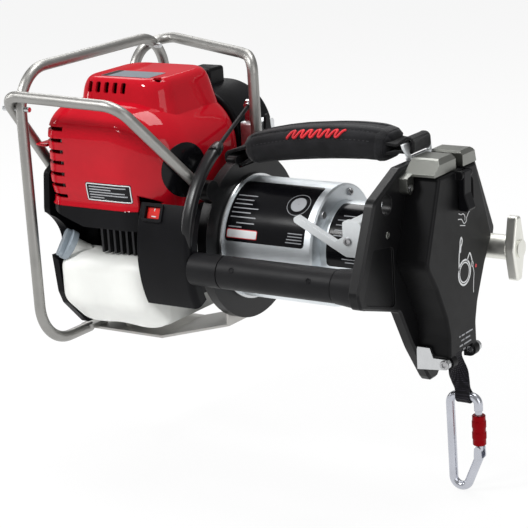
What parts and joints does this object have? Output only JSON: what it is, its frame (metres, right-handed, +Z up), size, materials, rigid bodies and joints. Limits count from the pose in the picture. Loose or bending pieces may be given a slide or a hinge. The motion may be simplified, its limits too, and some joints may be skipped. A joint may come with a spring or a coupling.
{
  "type": "engine winch",
  "caption": "Portable petrol rope winch: a caged engine drives a ribbed rope sheave under a hinged lid through a clutch and planetary gears, with twist grip, carrying strap and carabiner.",
  "frame": {"origin": "centre of the rope sheave, where the rope carries the winch", "axes": "+X along the drive line from the engine to the front of the lid, +Z up, -Y the side with the twist grip"},
  "size_m": [0.5469, 0.3122, 0.4828],
  "materials": {
    "black_casting": "matte",
    "lid_black": "satin",
    "bush_bronze": "satin",
    "bright_steel": "polished",
    "stainless": "brushed",
    "tube_steel": "satin",
    "steel": "machined",
    "hard_aluminium": "anodised",
    "gearbox_silver": "satin",
    "black_metal": "satin",
    "shoe_lining": "matte",
    "dark_casting": "cast",
    "muffler_steel": "dull",
    "black_plastic": "fine grain",
    "red_plastic": "gloss",
    "switch_red": "gloss",
    "tank_white": "satin",
    "cap_grey": "satin",
    "grip_rubber": "matte",
    "cable_black": "matte",
    "webbing_black": "woven",
    "knob_silver": "polished",
    "carabiner_silver": "polished",
    "sleeve_red": "anodised"
  },
  "bodies": {
    "frame": {"head_plate": "black_casting", "shaft_bush": "bush_bronze", "hinge_brackets": "bright_steel", "rope_guide_left": "stainless", "rope_guide_right": "stainless", "roller_pins": "steel", "sling_anchor": "steel", "gearbox_neck": "gearbox_silver", "gearbox_housing": "gearbox_silver", "ring_gear": "steel", "coupling_flange": "black_metal", "clutch_housing": "gearbox_silver", "coupling_shroud": "black_plastic", "throttle_cable": "cable_black", "grip_tube": "black_metal", "grip_collars": "grip_rubber", "lever_bracket": "bright_steel", "crankcase": "dark_casting", "engine_cover": "red_plastic", "lower_shroud": "black_plastic", "muffler": "muffler_steel", "air_cleaner": "black_plastic", "carburettor": "gearbox_silver", "cable_adjuster": "stainless", "fuel_tank": "tank_white", "rear_housing": "black_plastic", "guard_hoop": "tube_steel", "guard_rail_left": "tube_steel", "guard_rail_right": "tube_steel", "rail_bolts": "stainless", "base_bracket": "stainless", "strap_pad": "webbing_black", "strap_webbing": "webbing_black", "strap_buckle": "stainless"},
    "lid": {"lid": "lid_black"},
    "latch": {"lid_latch": "black_plastic"},
    "output": {"rope_sheave": "hard_aluminium", "output_shaft": "steel", "shaft_nut": "steel"},
    "planet_1": {"planet_gear_1": "steel"},
    "planet_2": {"planet_gear_2": "steel"},
    "planet_3": {"planet_gear_3": "steel"},
    "sun": {"sun_shaft": "steel", "clutch_drum": "steel"},
    "crank": {"crankshaft": "steel", "clutch_shoes": "shoe_lining"},
    "guide_roller": {"guide_roller": "hard_aluminium"},
    "pressure_arm": {"pressure_arm": "steel"},
    "pressure_roller": {"pressure_roller": "hard_aluminium"},
    "knob": {"turn_knob": "knob_silver"},
    "grip": {"twist_grip": "grip_rubber"},
    "throttle": {"throttle_lever": "black_plastic"},
    "descent": {"descent_lever": "bright_steel"},
    "switch": {"stop_switch": "switch_red"},
    "cap": {"fuel_cap": "cap_grey"},
    "recoil": {"recoil_handle": "black_plastic"},
    "sling": {"sling": "webbing_black"},
    "carabiner": {"carabiner_body": "carabiner_silver"},
    "gate": {"carabiner_gate": "carabiner_silver"},
    "sleeve": {"carabiner_sleeve": "sleeve_red"}
  },
  "joints": [
    {"name": "sheave_spin", "type": "hinge", "parent": "frame", "child": "output", "pos_m": [0, 0, 0], "axis": [1, 0, 0], "continuous": true},
    {"name": "sun_spin", "type": "hinge", "parent": "frame", "child": "sun", "pos_m": [-0.25, 0, 0], "axis": [1, 0, 0], "continuous": true},
    {"name": "crank_spin", "type": "hinge", "parent": "frame", "child": "crank", "pos_m": [-0.37, 0, 0], "axis": [1, 0, 0], "continuous": true},
    {"name": "guide_roller_spin", "type": "hinge", "parent": "frame", "child": "guide_roller", "pos_m": [0, 0.02, 0.062], "axis": [1, 0, 0], "continuous": true},
    {"name": "pressure_arm_swing", "type": "hinge", "parent": "frame", "child": "pressure_arm", "pos_m": [0, 0.046, 0.038], "axis": [1, 0, 0], "range_deg": [0, 6], "stiffness_Nm_per_rad": 8},
    {"name": "pressure_roller_spin", "type": "hinge", "parent": "pressure_arm", "child": "pressure_roller", "pos_m": [0, 0.0532, 0.0094], "axis": [1, 0, 0], "continuous": true},
    {"name": "lid_swing", "type": "hinge", "parent": "frame", "child": "lid", "pos_m": [0.016, 0, -0.111], "axis": [0, 1, 0], "range_deg": [0, 85]},
    {"name": "latch_lift", "type": "hinge", "parent": "lid", "child": "latch", "pos_m": [0.0245, 0.0045, 0.093], "axis": [0, -1, 0], "range_deg": [0, 40], "stiffness_Nm_per_rad": 0.3},
    {"name": "knob_turn", "type": "hinge", "parent": "frame", "child": "knob", "pos_m": [0, 0.09, -0.01], "axis": [1, 0, 0], "range_deg": [0, 90]},
    {"name": "grip_twist", "type": "hinge", "parent": "frame", "child": "grip", "pos_m": [-0.14, -0.118, -0.009], "axis": [1, 0, 0], "range_deg": [0, 60], "stiffness_Nm_per_rad": 0.6},
    {"name": "throttle_turn", "type": "hinge", "parent": "frame", "child": "throttle", "pos_m": [-0.271, 0.072, 0.104], "axis": [-1, 0, 0], "range_deg": [0, 60]},
    {"name": "descent_pull", "type": "hinge", "parent": "frame", "child": "descent", "pos_m": [-0.076, -0.072, 0.0284], "axis": [0, -1, 0], "range_deg": [0, 12], "stiffness_Nm_per_rad": 4},
    {"name": "switch_rock", "type": "hinge", "parent": "frame", "child": "switch", "pos_m": [-0.302, -0.11967, 0.05079], "axis": [1, 0, 0], "range_deg": [0, 14]},
    {"name": "cap_turn", "type": "hinge", "parent": "frame", "child": "cap", "pos_m": [-0.446, -0.103, -0.003], "axis": [-0.5529, -0.6233, 0.5529], "range_deg": [0, 180]},
    {"name": "recoil_pull", "type": "slide", "parent": "frame", "child": "recoil", "axis": [-1, 0, 0], "range_m": [0, 0.15], "stiffness_N_per_m": 120},
    {"name": "sling_swing", "type": "hinge", "parent": "frame", "child": "sling", "pos_m": [0.006, 0, -0.108], "axis": [0, -1, 0], "range_deg": [-10, 35]},
    {"name": "carabiner_swing", "type": "hinge", "parent": "sling", "child": "carabiner", "pos_m": [0.019, 0, -0.158], "axis": [1, 0, 0], "range_deg": [-35, 35]},
    {"name": "gate_open", "type": "hinge", "parent": "carabiner", "child": "gate", "pos_m": [0.0355, 0, -0.218], "axis": [0, -1, 0], "range_deg": [0, 20], "stiffness_Nm_per_rad": 0.5},
    {"name": "sleeve_turn", "type": "hinge", "parent": "gate", "child": "sleeve", "pos_m": [0.0355, 0, -0.2], "axis": [0, 0, 1], "range_deg": [0, 90], "stiffness_Nm_per_rad": 0.02},
    {"name": "planet_spin_1", "type": "hinge", "parent": "output", "child": "planet_1", "pos_m": [-0.225, 0, 0.036], "axis": [1, 0, 0], "continuous": true},
    {"name": "planet_spin_2", "type": "hinge", "parent": "output", "child": "planet_2", "pos_m": [-0.225, -0.03118, -0.018], "axis": [1, 0, 0], "continuous": true},
    {"name": "planet_spin_3", "type": "hinge", "parent": "output", "child": "planet_3", "pos_m": [-0.225, 0.03118, -0.018], "axis": [1, 0, 0], "continuous": true}
  ],
  "couplings": [
    {"joint": "sun_spin", "follows": "sheave_spin", "ratio": 4.8},
    {"joint": "planet_spin_1", "follows": "sheave_spin", "ratio": -2.7143},
    {"joint": "planet_spin_2", "follows": "sheave_spin", "ratio": -2.7143},
    {"joint": "planet_spin_3", "follows": "sheave_spin", "ratio": -2.7143},
    {"joint": "throttle_turn", "follows": "grip_twist", "ratio": 1}
  ]
}
